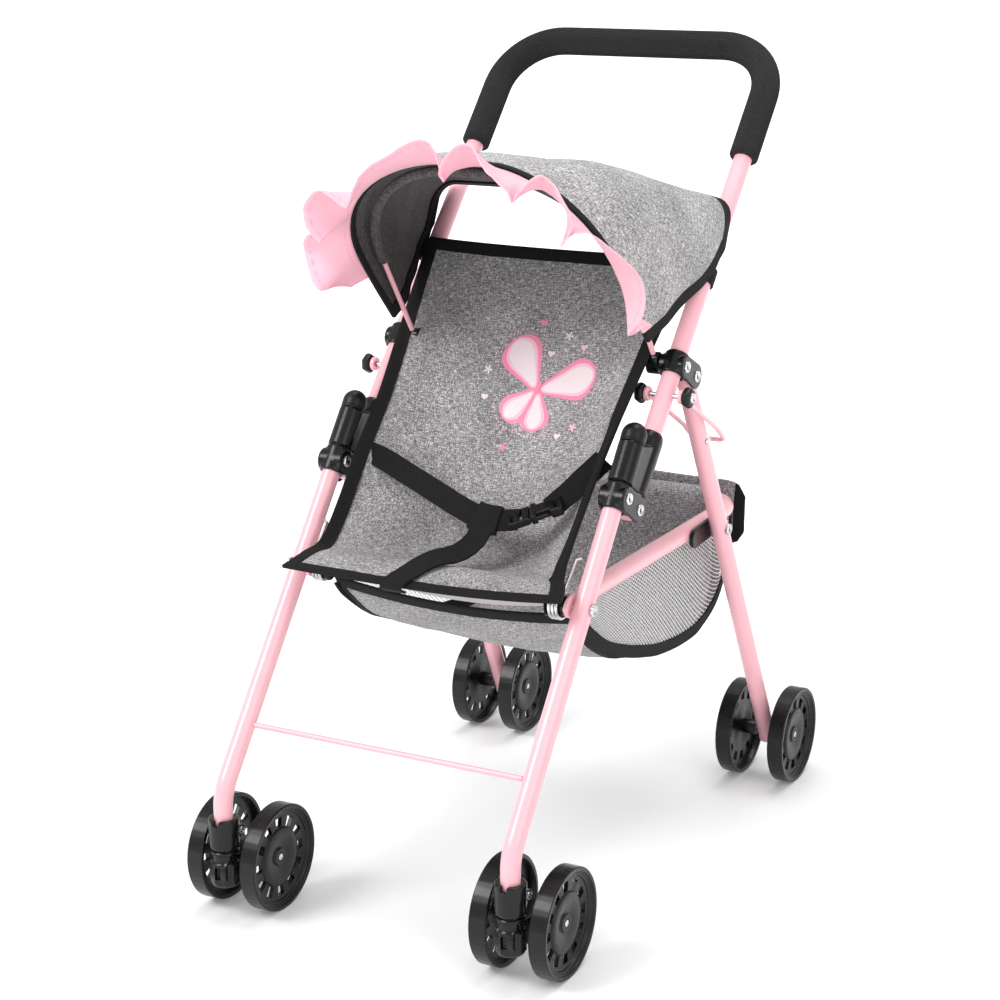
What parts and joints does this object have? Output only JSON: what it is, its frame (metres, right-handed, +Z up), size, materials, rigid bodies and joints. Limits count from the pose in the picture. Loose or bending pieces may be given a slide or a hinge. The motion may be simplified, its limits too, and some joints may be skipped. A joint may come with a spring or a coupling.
{
  "type": "folding doll stroller",
  "caption": "Folding doll stroller: painted tube frame, sling seat with belt, ruffled hood, under-seat basket, swivelling wheel sets and a foam-covered push handle.",
  "frame": {"origin": "on the floor, under the middle of the stroller: halfway between its sides, and halfway between the front of the caster collars and the rearmost of the rear wheels", "axes": "+Z up, -Y towards the front where the doll faces, +X towards the left hand of someone pushing it from behind"},
  "size_m": [0.2812, 0.4438, 0.5544],
  "materials": {
    "pink_paint": "gloss",
    "black_plastic": "gloss",
    "black_foam": "matt foam",
    "steel": "zinc plated",
    "grey_fabric": "melange weave with black binding",
    "black_webbing": "woven webbing",
    "pink_satin": "satin",
    "basket_fabric": "melange weave with mesh sides"
  },
  "bodies": {
    "front_frame": {"front_leg_L": "pink_paint", "front_leg_R": "pink_paint", "footrest_bar": "pink_paint", "leg_bracket_L": "black_plastic", "leg_bracket_R": "black_plastic", "fold_rivet_L": "steel", "fold_rivet_R": "steel", "caster_collar_L": "black_plastic", "caster_collar_R": "black_plastic", "rail_pivot_L": "steel", "rail_pivot_R": "steel", "spring_spool_L": "black_plastic", "spring_spool_R": "black_plastic", "torsion_spring_L": "steel", "torsion_spring_R": "steel", "seat_sling": "grey_fabric", "waist_belt": "black_webbing", "belt_buckle": "black_plastic", "crotch_strap": "black_webbing"},
    "handle": {"handle_tube": "pink_paint", "handle_grip": "black_foam", "top_clamp_L": "black_plastic", "top_clamp_R": "black_plastic", "leg_rivet_L": "steel", "leg_rivet_R": "steel", "knob_bolt_L": "black_plastic", "knob_bolt_R": "black_plastic", "canopy": "grey_fabric"},
    "rear_legs": {"rear_leg_L": "pink_paint", "rear_leg_R": "pink_paint", "rear_axle_L": "steel", "rear_axle_R": "steel", "rail_bolt_L": "steel", "rail_bolt_R": "steel"},
    "rail": {"seat_rail": "pink_paint", "rail_spacer_L": "black_plastic", "rail_spacer_R": "black_plastic", "basket": "basket_fabric"},
    "sleeve_L": {"lock_sleeve_L": "black_plastic", "lock_cap_L": "black_plastic"},
    "sleeve_R": {"lock_sleeve_R": "black_plastic", "lock_cap_R": "black_plastic"},
    "hoop": {"canopy_hoop": "pink_paint", "hoop_socket_L": "black_plastic", "hoop_socket_R": "black_plastic", "canopy_ruffle": "pink_satin"},
    "bail_L": {"wire_bail_L": "pink_paint"},
    "bail_R": {"wire_bail_R": "pink_paint"},
    "caster_L": {"caster_fork_L": "black_plastic", "front_axle_L": "steel"},
    "caster_R": {"caster_fork_R": "black_plastic", "front_axle_R": "steel"},
    "front_wheel_L_outer": {"front_wheel_L_outer": "black_plastic"},
    "front_wheel_L_inner": {"front_wheel_L_inner": "black_plastic"},
    "front_wheel_R_outer": {"front_wheel_R_outer": "black_plastic"},
    "front_wheel_R_inner": {"front_wheel_R_inner": "black_plastic"},
    "rear_wheel_L_outer": {"rear_wheel_L_outer": "black_plastic"},
    "rear_wheel_L_inner": {"rear_wheel_L_inner": "black_plastic"},
    "rear_wheel_R_outer": {"rear_wheel_R_outer": "black_plastic"},
    "rear_wheel_R_inner": {"rear_wheel_R_inner": "black_plastic"}
  },
  "joints": [
    {"name": "handle_fold", "type": "hinge", "parent": "front_frame", "child": "handle", "pos_m": [0, -0.05304, 0.2666], "axis": [-1, 0, 0], "range_deg": [0, 90]},
    {"name": "rear_leg_fold", "type": "hinge", "parent": "handle", "child": "rear_legs", "pos_m": [0, 0.03525, 0.33777], "axis": [-1, 0, 0], "range_deg": [-54.5, 0.5]},
    {"name": "rail_fold", "type": "hinge", "parent": "front_frame", "child": "rail", "pos_m": [0, -0.11639, 0.21669], "axis": [-1, 0, 0], "range_deg": [-0.5, 55.2]},
    {"name": "hood_fold", "type": "hinge", "parent": "handle", "child": "hoop", "pos_m": [0, 0.01837, 0.34736], "axis": [-1, 0, 0], "range_deg": [0, 70], "deforming": ["canopy"]},
    {"name": "sleeve_slide_L", "type": "slide", "parent": "handle", "child": "sleeve_L", "axis": [0, 0.6624, 0.7492], "range_m": [0, 0.026]},
    {"name": "bail_swing_L", "type": "hinge", "parent": "handle", "child": "bail_L", "pos_m": [-0.1056, 0.00327, 0.33028], "axis": [-1, 0, 0], "range_deg": [-50.1, 0.5]},
    {"name": "sleeve_slide_R", "type": "slide", "parent": "handle", "child": "sleeve_R", "axis": [0, 0.6624, 0.7492], "range_m": [0, 0.026]},
    {"name": "bail_swing_R", "type": "hinge", "parent": "handle", "child": "bail_R", "pos_m": [0.1056, 0.00327, 0.33028], "axis": [-1, 0, 0], "range_deg": [-50.1, 0.5]},
    {"name": "caster_swivel_L", "type": "hinge", "parent": "front_frame", "child": "caster_L", "pos_m": [-0.1056, -0.214, 0.036], "axis": [0, 0, 1], "continuous": true},
    {"name": "caster_swivel_R", "type": "hinge", "parent": "front_frame", "child": "caster_R", "pos_m": [0.1056, -0.214, 0.036], "axis": [0, 0, 1], "continuous": true},
    {"name": "front_wheel_L_outer_roll", "type": "hinge", "parent": "caster_L", "child": "front_wheel_L_outer", "pos_m": [-0.12635, -0.184, 0.036], "axis": [1, 0, 0], "continuous": true},
    {"name": "front_wheel_L_inner_roll", "type": "hinge", "parent": "caster_L", "child": "front_wheel_L_inner", "pos_m": [-0.08485, -0.184, 0.036], "axis": [1, 0, 0], "continuous": true},
    {"name": "front_wheel_R_outer_roll", "type": "hinge", "parent": "caster_R", "child": "front_wheel_R_outer", "pos_m": [0.12635, -0.184, 0.036], "axis": [1, 0, 0], "continuous": true},
    {"name": "front_wheel_R_inner_roll", "type": "hinge", "parent": "caster_R", "child": "front_wheel_R_inner", "pos_m": [0.08485, -0.184, 0.036], "axis": [1, 0, 0], "continuous": true},
    {"name": "rear_wheel_L_outer_roll", "type": "hinge", "parent": "rear_legs", "child": "rear_wheel_L_outer", "pos_m": [-0.13455, 0.184, 0.036], "axis": [1, 0, 0], "continuous": true},
    {"name": "rear_wheel_L_inner_roll", "type": "hinge", "parent": "rear_legs", "child": "rear_wheel_L_inner", "pos_m": [-0.09305, 0.184, 0.036], "axis": [1, 0, 0], "continuous": true},
    {"name": "rear_wheel_R_outer_roll", "type": "hinge", "parent": "rear_legs", "child": "rear_wheel_R_outer", "pos_m": [0.13455, 0.184, 0.036], "axis": [1, 0, 0], "continuous": true},
    {"name": "rear_wheel_R_inner_roll", "type": "hinge", "parent": "rear_legs", "child": "rear_wheel_R_inner", "pos_m": [0.09305, 0.184, 0.036], "axis": [1, 0, 0], "continuous": true}
  ],
  "couplings": [
    {"joint": "rail_fold", "follows": "handle_fold", "ratio": 0.607},
    {"joint": "rear_leg_fold", "follows": "handle_fold", "ratio": -0.6},
    {"joint": "bail_swing_L", "follows": "handle_fold", "ratio": -0.55},
    {"joint": "bail_swing_R", "follows": "handle_fold", "ratio": -0.55}
  ]
}
